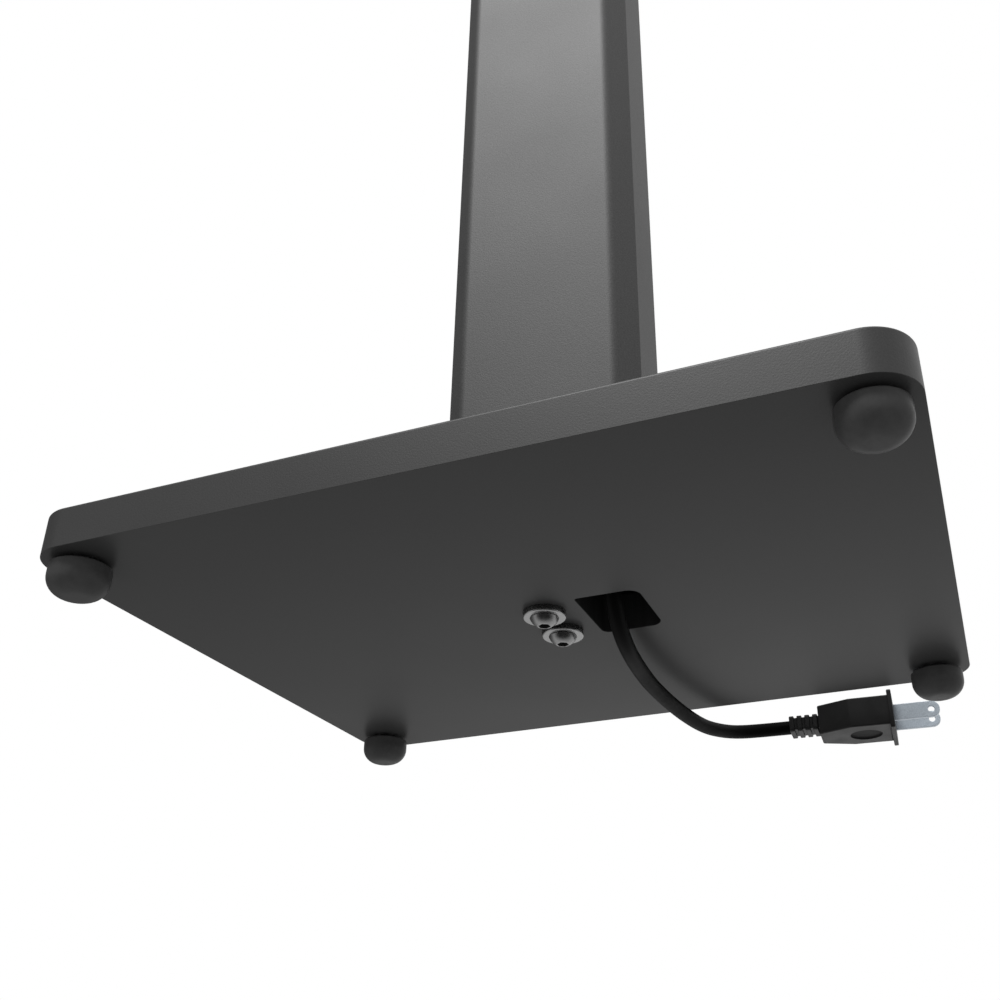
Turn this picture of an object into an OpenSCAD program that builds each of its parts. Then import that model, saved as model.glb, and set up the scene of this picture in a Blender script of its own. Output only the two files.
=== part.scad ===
/* [Base plate] */
// Width of the base plate
base_w = 250; // [200:5:320]
// Depth of the base plate
base_d = 205; // [160:5:260]
// Thickness of the base plate
base_t = 13; // [12:0.5:20]
// Corner radius of the base plate, seen from above
base_corner_r = 12.5; // [8:0.5:20]
// Bevel along the top edge of the base plate and the top plate
plate_bevel = 0.5; // [0.2:0.1:1.5]

/* [Column] */
// Width of the column
column_w = 73; // [70:1:90]
// Depth of the column
column_d = 36.5; // [34:0.5:50]
// Length of the column
column_h = 760; // [500:10:1100]
// Thickness of the column's outer walls
column_wall = 2.5; // [1.5:0.1:3]
// Thickness of the web between the two channels
column_web_t = 2.5; // [1.5:0.1:3.5]
// How far each chamfered corner is cut back along both faces
column_chamfer = 7.7; // [6:0.1:9]
// Radius that blends each chamfer into the front or back face
column_blend_r = 6; // [4:0.5:8]

/* [Column screws] */
// Distance between the two screws at each end of the column
screw_spacing = 16.5; // [15:0.5:18]
// Thread diameter of the column screws
screw_d = 5; // [4:0.5:5.5]
// Length of thread that goes into the column
screw_grip = 18; // [12:1:30]
// Wall of the screw channel round each screw
screw_channel_wall = 2.4; // [1.6:0.1:3]
// Diameter of the button heads under the base
button_head_d = 9.5; // [9:0.1:11]
// Height of the button heads
button_head_h = 2.7; // [2.5:0.1:3.5]
// Width across the flats of each hexagon socket
socket_af = 3; // [2.5:0.1:4]
// Depth of each hexagon socket
socket_depth = 1.6; // [1:0.1:2]
// Diameter of the washers under the base
washer_d = 14; // [12:0.5:15]
// Thickness of the washers
washer_t = 2.1; // [0.8:0.1:2.5]
// Diameter of the flush countersunk heads in the top plate
flush_head_d = 10; // [9:0.1:11]

/* [Levelling feet] */
// Diameter of each rubber pad
pad_d = 18; // [16:0.5:21]
// Height of each rubber pad
pad_h = 9.5; // [9:0.5:14]
// Rounding of the pad's lower edge
pad_lower_r = 6; // [4:0.5:7]
// Rounding of the pad's upper rim
pad_rim_r = 0.6; // [0.3:0.1:1]
// Distance from the foot's centre to both edges of the base plate
foot_inset = 11.8; // [11:0.1:20]
// Thread diameter of the foot's stud
stud_d = 8; // [6:0.5:8]
// Length of thread above the stud's shoulder
stud_thread_l = 10.5; // [8:0.5:11]
// Diameter of the shoulder that stops the foot under the base plate
shoulder_d = 9.2; // [9:0.1:11]
// Thickness of the shoulder, the gap seen above the pad
shoulder_t = 1.4; // [1:0.1:3]
// Diameter of the stud's disc inside the rubber
stud_disc_d = 12; // [10:0.5:13]
// Thickness of the stud's disc inside the rubber
stud_disc_t = 1.5; // [1:0.1:2]
// Height of rubber below the disc
pad_floor_t = 3.5; // [2:0.5:5]

/* [Cable way] */
// Width of the cable hole in both plates
cable_hole_w = 20.4; // [16.4:0.5:20.4]
// Length of the cable hole, front to back
cable_hole_l = 29; // [24:0.5:29]
// Radius of the cable hole's corners beside the column's wall
cable_hole_r = 4; // [2:0.5:6]
// Radius of the cable hole's rear corner beside the screws
cable_hole_rear_r = 2.5; // [1:0.5:6]
// Radius of the cable hole's front corner beside the screws
cable_hole_front_r = 1; // [1:0.5:6]
// Distance from the column's inner side wall to the cable hole
cable_hole_side_gap = 1; // [0:0.5:2]

/* [Top plate and mat] */
// Width of the top plate
top_w = 160; // [150:5:220]
// Depth of the top plate
top_d = 140; // [130:5:200]
// Thickness of the top plate
top_t = 6; // [5:0.5:10]
// Corner radius of the top plate
top_corner_r = 12.5; // [8:0.5:20]
// Distance between the speaker bolt holes, side to side
speaker_bolt_x = 120; // [100:5:125]
// Distance between the speaker bolt holes, front to back
speaker_bolt_y = 100; // [80:5:105]
// Diameter of the speaker bolt holes
speaker_bolt_hole_d = 5.5; // [4.5:0.5:7]
// Distance from the top plate's edge to the rubber mat
mat_inset = 5; // [2:0.5:7]
// Thickness of the rubber mat
mat_t = 2; // [1.8:0.1:4]
// Lip of the rubber grommet round the upper cable hole
grommet_lip_w = 2; // [1.5:0.1:2.5]
// Thickness of the grommet's lip
grommet_lip_t = 1.5; // [1:0.1:1.7]
// Width of the slit that lets the cord into the grommet
grommet_slit_w = 0.8; // [0.4:0.1:1.5]

/* [Cord and its two ends] */
// Diameter of the cord
cord_d = 5.5; // [5:0.1:5.6]
// Length of the ribbed strain relief at the wall plug
relief_l = 11.7; // [11.2:0.1:15]
// Width of the strain relief's ribs
rib_w = 11.5; // [10:0.1:13]
// Height of the strain relief's ribs
rib_h = 6.5; // [6:0.1:8]
// Thickness of one rib
rib_t = 1.9; // [1:0.1:2]
// Distance from one rib to the next
rib_pitch = 3.1; // [2.6:0.1:3.1]
// How far the ribs stand out of the strain relief's core
rib_out = 0.8; // [0.4:0.1:1.2]
// Length of the plug's body
plug_l = 27.5; // [26:0.5:36]
// Length of the plug's tapered rear part
plug_taper_l = 12.4; // [10:0.1:14]
// Width of the plug's body at the strain relief
plug_rear_w = 13.9; // [13.2:0.1:16]
// Widest part of the plug's body
plug_w = 24; // [22:0.5:25]
// Height of the plug's body
plug_h = 11.8; // [10.5:0.1:12.5]
// Width of the flange at the plug's face
flange_w = 26.6; // [26:0.1:30]
// Height of the flange, which rests on the floor
flange_h = 15.4; // [14:0.1:15.4]
// Thickness of the flange
flange_t = 1.7; // [1.2:0.1:3]
// Diameter of the round finger dimple on both broad faces
dimple_d = 12.3; // [8:0.1:14]
// Depth of the finger dimple
dimple_depth = 0.8; // [0.4:0.1:1.2]
// Distance from the body's rear to the dimple's centre
dimple_x = 17.6; // [16:0.1:19]
// Distance between the two blades
blade_spacing = 12.7; // [12:0.1:13.5]
// Width of a blade
blade_w = 6.35; // [6:0.05:7]
// Thickness of a blade
blade_t = 1.5; // [1.2:0.1:1.8]
// Length of blade outside the flange
blade_l = 17.3; // [15:0.1:20]
// Length of blade inside the plug
blade_root_l = 8; // [5:0.5:12]
// Diameter of the hole near each blade's tip
blade_hole_d = 2.5; // [2:0.1:3.5]
// Height of the small relief under the speaker connector
connector_relief_h = 8; // [6:0.5:12]
// Lower and upper diameter of that relief
connector_relief_d = [7.5, 9]; // [7:0.5:9.5]
// Width of the speaker connector's grip
grip_w = 16.5; // [16:0.5:20]
// Depth of the speaker connector's grip
grip_d = 10; // [9.5:0.1:12]
// Height of the speaker connector's grip
grip_h = 11; // [9:0.5:16]
// Width of the connector's figure-of-eight nose
nose_w = 13.4; // [13.4:0.1:15]
// Depth of the connector's nose
nose_d = 7.2; // [6.6:0.1:8]
// Height of the connector's nose
nose_h = 9; // [8:0.5:11]
// Distance between the two contacts in the nose
contact_spacing = 6.2; // [5.6:0.1:6.2]
// Outer diameter of a contact
contact_d = 3.2; // [3:0.1:3.6]
// Bore of a contact
contact_bore_d = 2.4; // [2:0.1:2.6]
// Length of a contact
contact_l = 7; // [5:0.5:7.5]
// How far a contact lies below the nose's face
contact_sunk = 1; // [0.5:0.1:1.5]

/* [Hidden] */

// Facets of a full circle, and of the small circles
round_fn = 96;
small_fn = 48;
// How far a cut runs past the face that it opens
overrun = 1;
// Radial play of a thread or a turning fit
turn_play = 0.05;
// Radial play of a screw's clearance hole
clear_play = 0.25;
// Play all round a rubber piece in its seat
rubber_play = 0.1;
// Gap between the mat and what stands in its windows
mat_gap = 0.5;
// Straight rim below the cone of a countersink
countersink_land = 0.2;
// Height by which a button head's full dome would pass its flat tip
dome_over = 0.5;
// Number of ribs on the strain relief
rib_count = 4;

// Levels, counted up from the floor
base_z = pad_h + shoulder_t;
column_z = base_z + base_t;
top_z = column_z + column_h;
mat_z = top_z + top_t;
connector_z = mat_z + grommet_lip_t;
grip_z = connector_z + connector_relief_h;
nose_z = grip_z + grip_h;

foot_x = base_w / 2 - foot_inset;
foot_y = base_d / 2 - foot_inset;
stud_hole_depth = stud_thread_l + overrun;
screw_channel_d = screw_d + 2 * turn_play + 2 * screw_channel_wall;
cable_hole_x = column_w / 2 - column_wall - cable_hole_side_gap - cable_hole_w / 2;
flush_head_h = (flush_head_d - screw_d) / 2;
mat_hole_d = speaker_bolt_hole_d + 2 * (speaker_bolt_hole_d / 2 + mat_gap);

// Route of the cord's free stretch: straight down out of the column, along the
// floor towards the back, and round to the plug behind the base plate
free_route = [
    [22.8, -10, 30], [22.8, -10, 27.6], [22.7, -8, 18], [22.3, -2.6, 10],
    [21.6, 5.6, 4.9], [20.8, 15, 3], [19.8, 25, 2.8], [19, 36, 2.8],
    [18.6, 47, 2.8], [18.8, 58, 2.8], [19.4, 69, 2.8], [20.4, 80, 2.8],
    [22, 91, 2.8], [24.2, 102, 3.2], [27.6, 112, 4.2], [33, 121, 5.6],
    [41, 127, 7], [49.2, 129.8, 7.7], [53, 130, 7.7]
];
// Where the plug begins, and the direction of the cord's last stretch there
plug_at = free_route[len(free_route) - 1];
plug_along = plug_at - free_route[len(free_route) - 2];
// Turn of the plug on the floor
plug_yaw = atan2(plug_along[1], plug_along[0]);
// Length over which the held cord drifts to the middle of the cable hole
held_drift_l = 260;
// Route of the cord inside the column, from its lower end up to the connector
held_start = free_route[0];
held_route = [
    held_start,
    held_start + [0, 0, held_drift_l / 4],
    [(held_start[0] + cable_hole_x) / 2, held_start[1] / 2, held_start[2] + held_drift_l / 2],
    [cable_hole_x, 0, held_start[2] + 3 * held_drift_l / 4],
    [cable_hole_x, 0, held_start[2] + held_drift_l],
    [cable_hole_x, 0, grip_z]
];
cord_sides = 10;
// A direction that no stretch of the cord follows
cord_side_hint = [1, -1, 0];

function unit(v) = v / norm(v);

// Direction of the route at point i
function heading(route, i) =
    unit(route[min(i + 1, len(route) - 1)] - route[max(i - 1, 0)]);

// One ring of the tube, square to the route
function ring(route, i, d) =
    let (along = heading(route, i), across = unit(cross(along, cord_side_hint)), up = cross(across, along))
    [for (k = [0:cord_sides - 1])
        let (turn = 360 * k / cord_sides)
        route[i] + d / 2 * (cos(turn) * across + sin(turn) * up)];

module tube(route, d) {
    rings = len(route);
    points = [for (i = [0:rings - 1]) each ring(route, i, d)];
    walls = [for (i = [0:rings - 2], k = [0:cord_sides - 1])
        let (a = i * cord_sides + k, b = i * cord_sides + (k + 1) % cord_sides)
        each [[a, a + cord_sides, b], [b, a + cord_sides, b + cord_sides]]];
    first = [for (k = [0:cord_sides - 1]) k];
    last = [for (k = [cord_sides - 1:-1:0]) (rings - 1) * cord_sides + k];
    polyhedron(points, concat(walls, [first, last]));
}

module rounded_rect(w, d, r) {
    square([w - 2 * r, d], center = true);
    square([w, d - 2 * r], center = true);
    for (sx = [-1, 1], sy = [-1, 1])
        translate([sx * (w / 2 - r), sy * (d / 2 - r)])
            circle(r, $fn = round_fn);
}

// A bar of length l along X whose upper edges are bevelled
module bevelled_bar(l, w, t, bevel) {
    rotate([90, 0, 90])
        translate([0, 0, -l / 2])
            linear_extrude(l)
                polygon([
                    [-w / 2, 0], [w / 2, 0], [w / 2, t - bevel],
                    [w / 2 - bevel, t], [bevel - w / 2, t], [-w / 2, t - bevel]
                ]);
}

// A flat plate with rounded corners and a bevelled top edge
module bevelled_plate(w, d, t, r, bevel) {
    bevelled_bar(w - 2 * r, d, t, bevel);
    rotate([0, 0, 90])
        bevelled_bar(d - 2 * r, w, t, bevel);
    for (sx = [-1, 1], sy = [-1, 1])
        translate([sx * (w / 2 - r), sy * (d / 2 - r), 0]) {
            cylinder(h = t - bevel, r = r, $fn = round_fn);
            translate([0, 0, t - bevel])
                cylinder(h = bevel, r1 = r, r2 = r - bevel, $fn = round_fn);
        }
}

module at_screws() {
    for (s = [-1, 1])
        translate([0, s * screw_spacing / 2, 0])
            children();
}

// Outline of the cable hole, grown by grow on every side
module cable_hole_outline(grow) {
    x = cable_hole_w / 2 + grow;
    y = cable_hole_l / 2 + grow;
    // Each corner's side, and the radius there
    corners = [
        [1, -1, cable_hole_r + grow], [1, 1, cable_hole_r + grow],
        [-1, 1, cable_hole_rear_r + grow], [-1, -1, cable_hole_front_r + grow]
    ];
    polygon([for (c = corners)
        let (flat = [c[0] * (x - c[2]), c[1] * y], upright = [c[0] * x, c[1] * (y - c[2])])
        each c[0] * c[1] < 0 ? [flat, upright] : [upright, flat]]);
    for (c = corners)
        translate([c[0] * (x - c[2]), c[1] * (y - c[2])])
            circle(c[2], $fn = round_fn);
}

module cable_hole_cut(t) {
    translate([cable_hole_x, 0, -overrun])
        linear_extrude(t + 2 * overrun)
            cable_hole_outline(0);
}

module base_plate() {
    color([0.23, 0.23, 0.24])
        translate([0, 0, base_z])
            difference() {
                bevelled_plate(base_w, base_d, base_t, base_corner_r, plate_bevel);
                cable_hole_cut(base_t);
                at_screws()
                    translate([0, 0, -overrun])
                        cylinder(h = base_t + 2 * overrun, d = screw_d + 2 * clear_play, $fn = small_fn);
                for (sx = [-1, 1], sy = [-1, 1])
                    translate([sx * foot_x, sy * foot_y, -overrun])
                        cylinder(h = stud_hole_depth + overrun, d = stud_d + 2 * turn_play, $fn = small_fn);
            }
}

// Outline of the column, drawn in by inset on every side
module column_outline(inset) {
    w = column_w - 2 * inset;
    d = column_d - 2 * inset;
    cut = column_chamfer - inset * (2 - sqrt(2));
    r = column_blend_r - inset;
    // Distance from the blend's corner to where the blend ends
    tangent = r * tan(45 / 2);
    flat_x = w / 2 - cut;
    polygon([for (s = [[1, 1], [-1, 1], [-1, -1], [1, -1]])
        let (corner = [
            [w / 2, d / 2 - cut],
            [flat_x + tangent / sqrt(2), d / 2 - tangent / sqrt(2)],
            [flat_x - tangent, d / 2]
        ])
        each [for (k = [0:2])
            let (p = corner[s[0] * s[1] > 0 ? k : 2 - k])
            [s[0] * p[0], s[1] * p[1]]]]);
    for (sx = [-1, 1], sy = [-1, 1])
        translate([sx * (flat_x - tangent), sy * (d / 2 - r)])
            circle(r, $fn = round_fn);
}

module column() {
    color([0.25, 0.25, 0.26])
        translate([0, 0, column_z])
            linear_extrude(column_h)
                difference() {
                    column_outline(0);
                    difference() {
                        column_outline(column_wall);
                        square([column_web_t, column_d], center = true);
                        at_screws()
                            circle(d = screw_channel_d, $fn = small_fn);
                    }
                    at_screws()
                        circle(d = screw_d + 2 * turn_play, $fn = small_fn);
                }
}

module hex_socket() {
    translate([0, 0, -socket_depth])
        cylinder(h = socket_depth + overrun, d = socket_af / cos(30), $fn = 6);
}

// Button head that stands up from z = 0
module button_head() {
    full_h = button_head_h + dome_over;
    dome_r = (pow(button_head_d / 2, 2) + pow(full_h, 2)) / (2 * full_h);
    difference() {
        intersection() {
            translate([0, 0, full_h - dome_r])
                sphere(dome_r, $fn = round_fn);
            cylinder(h = button_head_h, d = button_head_d + overrun, $fn = small_fn);
        }
        translate([0, 0, button_head_h])
            hex_socket();
    }
}

module base_screws() {
    color([0.62, 0.62, 0.63])
        at_screws()
            translate([0, 0, base_z - washer_t]) {
                mirror([0, 0, 1])
                    button_head();
                cylinder(h = washer_t + base_t + screw_grip, d = screw_d, $fn = small_fn);
            }
}

module base_washers() {
    color([0.55, 0.55, 0.56])
        at_screws()
            translate([0, 0, base_z - washer_t])
                difference() {
                    cylinder(h = washer_t, d = washer_d, $fn = round_fn);
                    translate([0, 0, -overrun])
                        cylinder(h = washer_t + 2 * overrun, d = screw_d + 2 * clear_play, $fn = small_fn);
                }
}

// A quarter disc whose round side points out and, with up = -1, down
module quarter_disc(r, up) {
    intersection() {
        circle(r, $fn = round_fn);
        translate([0, up > 0 ? 0 : -r])
            square(r);
    }
}

// Half outline of the rubber pad, turned about the foot's axis
module pad_profile() {
    flat_r = pad_d / 2 - pad_lower_r;
    rim_r = pad_d / 2 - pad_rim_r;
    square([flat_r, pad_h]);
    translate([0, pad_lower_r]) {
        square([rim_r, pad_h - pad_lower_r]);
        square([pad_d / 2, pad_h - pad_lower_r - pad_rim_r]);
    }
    translate([flat_r, pad_lower_r])
        quarter_disc(pad_lower_r, -1);
    translate([rim_r, pad_h - pad_rim_r])
        quarter_disc(pad_rim_r, 1);
}

module foot_pad(sx, sy) {
    color([0.13, 0.13, 0.13])
        translate([sx * foot_x, sy * foot_y, 0])
            difference() {
                rotate_extrude($fn = round_fn)
                    pad_profile();
                translate([0, 0, pad_floor_t - turn_play])
                    cylinder(h = stud_disc_t + 2 * turn_play, d = stud_disc_d + 2 * turn_play, $fn = small_fn);
                translate([0, 0, pad_floor_t])
                    cylinder(h = pad_h, d = stud_d + 2 * turn_play, $fn = small_fn);
            }
}

module foot_stud(sx, sy) {
    color([0.6, 0.6, 0.62])
        translate([sx * foot_x, sy * foot_y, 0]) {
            translate([0, 0, pad_floor_t])
                cylinder(h = stud_disc_t, d = stud_disc_d, $fn = small_fn);
            translate([0, 0, pad_floor_t])
                cylinder(h = base_z + stud_thread_l - pad_floor_t, d = stud_d, $fn = small_fn);
            translate([0, 0, pad_h])
                cylinder(h = shoulder_t, d = shoulder_d, $fn = small_fn);
        }
}

module at_speaker_bolts() {
    for (sx = [-1, 1], sy = [-1, 1])
        translate([sx * speaker_bolt_x / 2, sy * speaker_bolt_y / 2, 0])
            children();
}

module top_plate() {
    color([0.23, 0.23, 0.24])
        translate([0, 0, top_z])
            difference() {
                bevelled_plate(top_w, top_d, top_t, top_corner_r, plate_bevel);
                cable_hole_cut(top_t);
                at_screws() {
                    translate([0, 0, -overrun])
                        cylinder(h = top_t + 2 * overrun, d = screw_d + 2 * clear_play, $fn = small_fn);
                    translate([0, 0, top_t - flush_head_h - countersink_land])
                        cylinder(
                            h = flush_head_h,
                            d1 = screw_d + 2 * clear_play,
                            d2 = flush_head_d + 2 * clear_play,
                            $fn = small_fn
                        );
                    translate([0, 0, top_t - countersink_land])
                        cylinder(h = overrun, d = flush_head_d + 2 * clear_play, $fn = small_fn);
                }
                at_speaker_bolts()
                    translate([0, 0, -overrun])
                        cylinder(h = top_t + 2 * overrun, d = speaker_bolt_hole_d, $fn = small_fn);
            }
}

module top_screws() {
    color([0.55, 0.55, 0.56])
        at_screws()
            translate([0, 0, mat_z - countersink_land])
                difference() {
                    union() {
                        translate([0, 0, -flush_head_h])
                            cylinder(h = flush_head_h, d1 = screw_d, d2 = flush_head_d, $fn = small_fn);
                        translate([0, 0, countersink_land - top_t - screw_grip])
                            cylinder(h = screw_grip + top_t - flush_head_h, d = screw_d, $fn = small_fn);
                    }
                    hex_socket();
                }
}

module top_mat() {
    color([0.1, 0.1, 0.1])
        translate([0, 0, mat_z])
            linear_extrude(mat_t)
                difference() {
                    rounded_rect(top_w - 2 * mat_inset, top_d - 2 * mat_inset, top_corner_r - mat_inset);
                    translate([cable_hole_x, 0])
                        cable_hole_outline(grommet_lip_w + mat_gap);
                    at_screws()
                        circle(d = flush_head_d + 2 * mat_gap, $fn = small_fn);
                    at_speaker_bolts()
                        circle(d = mat_hole_d, $fn = small_fn);
                }
}

module cable_grommet() {
    color([0.09, 0.09, 0.09])
        translate([cable_hole_x, 0, top_z])
            difference() {
                union() {
                    linear_extrude(top_t)
                        cable_hole_outline(-rubber_play);
                    translate([0, 0, top_t])
                        linear_extrude(grommet_lip_t)
                            cable_hole_outline(grommet_lip_w);
                }
                translate([0, 0, -overrun])
                    cylinder(
                        h = top_t + grommet_lip_t + 2 * overrun,
                        d = cord_d + 2 * rubber_play,
                        $fn = small_fn
                    );
                translate([-grommet_slit_w / 2, 0, -overrun])
                    cube([grommet_slit_w, cable_hole_l, top_t + grommet_lip_t + 2 * overrun]);
            }
}

module cord_in_column() {
    color([0.07, 0.07, 0.07])
        tube(held_route, cord_d);
}

module cord_free() {
    color([0.07, 0.07, 0.07])
        tube(free_route, cord_d);
}

// Places a piece with its own X along the plug, from the end of the cord
module at_plug() {
    translate(plug_at)
        rotate([0, 0, plug_yaw])
            children();
}

// A bar of length l along X with a rounded rectangle for its section
module bar_along_plug(l, w, h, r) {
    rotate([90, 0, 90])
        linear_extrude(l)
            rounded_rect(w, h, r);
}

module plug_relief() {
    rib_r = rib_w / 10;
    color([0.1, 0.1, 0.1])
        at_plug() {
            bar_along_plug(relief_l, rib_w - 2 * rib_out, rib_h - 2 * rib_out, rib_r);
            for (i = [0:rib_count - 1])
                translate([i * rib_pitch, 0, 0])
                    bar_along_plug(rib_t, rib_w, rib_h, rib_r);
        }
}

module at_blades() {
    for (s = [-1, 1])
        translate([relief_l + plug_l + flange_t, s * blade_spacing / 2, 0])
            children();
}

module blade(play) {
    translate([-blade_root_l - play, -blade_t / 2 - play, -blade_w / 2 - play])
        cube([blade_root_l + blade_l - blade_w / 2 + play, blade_t + 2 * play, blade_w + 2 * play]);
    translate([blade_l - blade_w / 2, blade_t / 2 + play, 0])
        rotate([90, 0, 0])
            cylinder(h = blade_t + 2 * play, d = blade_w + 2 * play, $fn = small_fn);
}

module plug_body() {
    color([0.12, 0.12, 0.12])
        at_plug()
            difference() {
                union() {
                    translate([relief_l, 0, -plug_h / 2])
                        linear_extrude(plug_h)
                            polygon([
                                [0, -plug_rear_w / 2], [plug_taper_l, -plug_w / 2], [plug_l, -plug_w / 2],
                                [plug_l, plug_w / 2], [plug_taper_l, plug_w / 2], [0, plug_rear_w / 2]
                            ]);
                    translate([relief_l + plug_l, 0, 0])
                        bar_along_plug(flange_t, flange_w, flange_h, flange_t / 2);
                }
                for (s = [-1, 1])
                    translate([relief_l + dimple_x, 0, s * plug_h / 2 - dimple_depth])
                        cylinder(h = 2 * dimple_depth, d = dimple_d, $fn = round_fn);
                at_blades()
                    blade(turn_play);
            }
}

module plug_blades() {
    color([0.7, 0.74, 0.78])
        at_plug()
            at_blades()
                difference() {
                    blade(0);
                    translate([blade_l - blade_w / 2, overrun, 0])
                        rotate([90, 0, 0])
                            cylinder(h = 2 * overrun, d = blade_hole_d, $fn = small_fn);
                }
}

// A flat bar with round ends, standing up from z = 0
module round_ended_bar(w, d, h) {
    linear_extrude(h) {
        square([w - d, d], center = true);
        for (s = [-1, 1])
            translate([s * (w - d) / 2, 0])
                circle(d = d, $fn = small_fn);
    }
}

module connector_relief() {
    color([0.1, 0.1, 0.1])
        translate([cable_hole_x, 0, connector_z])
            difference() {
                cylinder(
                    h = connector_relief_h,
                    d1 = connector_relief_d[0],
                    d2 = connector_relief_d[1],
                    $fn = small_fn
                );
                translate([0, 0, -overrun])
                    cylinder(h = connector_relief_h + 2 * overrun, d = cord_d + 2 * rubber_play, $fn = small_fn);
            }
}

module at_contacts() {
    for (s = [-1, 1])
        translate([s * contact_spacing / 2, 0, nose_h - contact_sunk - contact_l])
            children();
}

module connector_body() {
    color([0.12, 0.12, 0.12])
        translate([cable_hole_x, 0, 0]) {
            translate([0, 0, grip_z])
                round_ended_bar(grip_w, grip_d, grip_h);
            translate([0, 0, nose_z])
                difference() {
                    round_ended_bar(nose_w, nose_d, nose_h);
                    at_contacts()
                        cylinder(h = contact_l + contact_sunk + overrun, d = contact_d + 2 * turn_play, $fn = small_fn);
                }
        }
}

module connector_contacts() {
    color([0.75, 0.65, 0.35])
        translate([cable_hole_x, 0, nose_z])
            at_contacts()
                difference() {
                    cylinder(h = contact_l, d = contact_d, $fn = small_fn);
                    translate([0, 0, overrun])
                        cylinder(h = contact_l, d = contact_bore_d, $fn = small_fn);
                }
}

base_plate();
column();
base_screws();
base_washers();
foot_pad(-1, -1);  // foot_pad_front_left
foot_pad(1, -1);  // foot_pad_front_right
foot_pad(-1, 1);  // foot_pad_rear_left
foot_pad(1, 1);  // foot_pad_rear_right
foot_stud(-1, -1);  // foot_stud_front_left
foot_stud(1, -1);  // foot_stud_front_right
foot_stud(-1, 1);  // foot_stud_rear_left
foot_stud(1, 1);  // foot_stud_rear_right
top_plate();
top_screws();
top_mat();
cable_grommet();
cord_in_column();
cord_free();
plug_relief();
plug_body();
plug_blades();
connector_relief();
connector_body();
connector_contacts();
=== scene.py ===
from math import atan2, cos, pi, radians, sin

import bmesh
import bpy
import numpy as np
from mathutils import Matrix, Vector
from mathutils.geometry import tessellate_polygon


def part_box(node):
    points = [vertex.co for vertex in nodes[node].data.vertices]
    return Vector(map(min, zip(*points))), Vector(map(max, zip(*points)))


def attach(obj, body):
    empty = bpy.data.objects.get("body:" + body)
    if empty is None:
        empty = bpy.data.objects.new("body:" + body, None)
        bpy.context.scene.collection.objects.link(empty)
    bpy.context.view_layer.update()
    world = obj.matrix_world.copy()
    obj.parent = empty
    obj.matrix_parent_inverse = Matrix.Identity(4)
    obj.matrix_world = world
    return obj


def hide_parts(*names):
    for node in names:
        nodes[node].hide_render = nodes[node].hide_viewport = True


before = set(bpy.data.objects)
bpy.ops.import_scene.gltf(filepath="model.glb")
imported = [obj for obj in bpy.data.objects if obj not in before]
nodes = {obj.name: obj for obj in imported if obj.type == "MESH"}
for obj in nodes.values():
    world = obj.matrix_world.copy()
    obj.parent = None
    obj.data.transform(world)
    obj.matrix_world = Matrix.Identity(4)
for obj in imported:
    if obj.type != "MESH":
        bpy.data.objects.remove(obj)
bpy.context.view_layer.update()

mm = 0.001

# Camera, as solved from the photo: below and in front of the base, looking up
view = {
    "place": (0.1228, -0.3121, -0.1335),
    "pitchUp": 26.833,
    "turnLeft": 21.470,
    "lens": 39.97,
    "shift": (-0.054, 0.0534),
    "clipStart": 0.01,
}
cameraData = bpy.data.cameras.new("camera")
cameraData.lens = view["lens"]
cameraData.shift_x, cameraData.shift_y = view["shift"]
cameraData.clip_start = view["clipStart"]
camera = bpy.data.objects.new("camera", cameraData)
camera.location = view["place"]
camera.rotation_euler = (radians(90 + view["pitchUp"]), 0, radians(view["turnLeft"]))
bpy.context.collection.objects.link(camera)
bpy.context.scene.camera = camera
bpy.context.scene.view_settings.view_transform = "Standard"
print("camera placed")


# Mesh helpers

meshing = {
    "samePoint": 1e-8, "weld": 1e-7,        # distances in metres under which points count as one
    "lead": 1.5,                            # flat lead beside a rounded edge, in radii of the edge
    "floorReach": 0.7,                      # how far a blind hole's floor is drawn in, in radii
}


def filletLoop(corners, radii, steps, flats=1):
    # Closed outline with rounded corners. Each corner becomes an arc tangent to its two sides:
    # centre = corner + bisector * r / sin(half angle), and the arc blends its two end radii
    # spherically. corners is (..., c, 2), radii (..., c); flats is the parts of a straight side.
    corners = np.asarray(corners, float)
    radii = np.asarray(radii, float)[..., None]
    toLast = np.roll(corners, 1, axis=-2) - corners
    toNext = np.roll(corners, -1, axis=-2) - corners
    a = toLast / np.linalg.norm(toLast, axis=-1, keepdims=True)
    b = toNext / np.linalg.norm(toNext, axis=-1, keepdims=True)
    half = np.arccos(np.clip((a * b).sum(-1, keepdims=True), -1, 1)) / 2
    bisector = (a + b) / np.linalg.norm(a + b, axis=-1, keepdims=True)
    centre = corners + bisector * radii / np.sin(half)
    first = (corners + a * radii / np.tan(half) - centre)[..., None, :]
    last = (corners + b * radii / np.tan(half) - centre)[..., None, :]
    sweep = (pi - 2 * half)[..., None, :]
    s = np.linspace(0, 1, steps + 1)[:, None]
    swing = (np.sin((1 - s) * sweep) * first + np.sin(s * sweep) * last) / np.sin(sweep)
    arc = centre[..., None, :] + swing
    nextStart = np.roll(arc[..., :1, :], -1, axis=-3)
    t = (np.arange(1, flats) / flats)[:, None]
    sides = arc[..., -1:, :] * (1 - t) + nextStart * t
    loop = np.concatenate([arc, sides], axis=-2)
    return loop.reshape(loop.shape[:-3] + (-1, 2))


def filletPath(points, radii, steps):
    # Open path with rounded corners: the arcs of filletLoop between two plain ends
    points = np.asarray(points, float)
    arcs = filletLoop(points, radii, steps).reshape(len(points), steps + 1, 2)
    path = np.concatenate([points[:1], arcs[1:-1].reshape(-1, 2), points[-1:]])
    apart = np.linalg.norm(np.diff(path, axis=0), axis=1) > meshing["samePoint"]
    return path[np.concatenate([[True], apart])]


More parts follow.
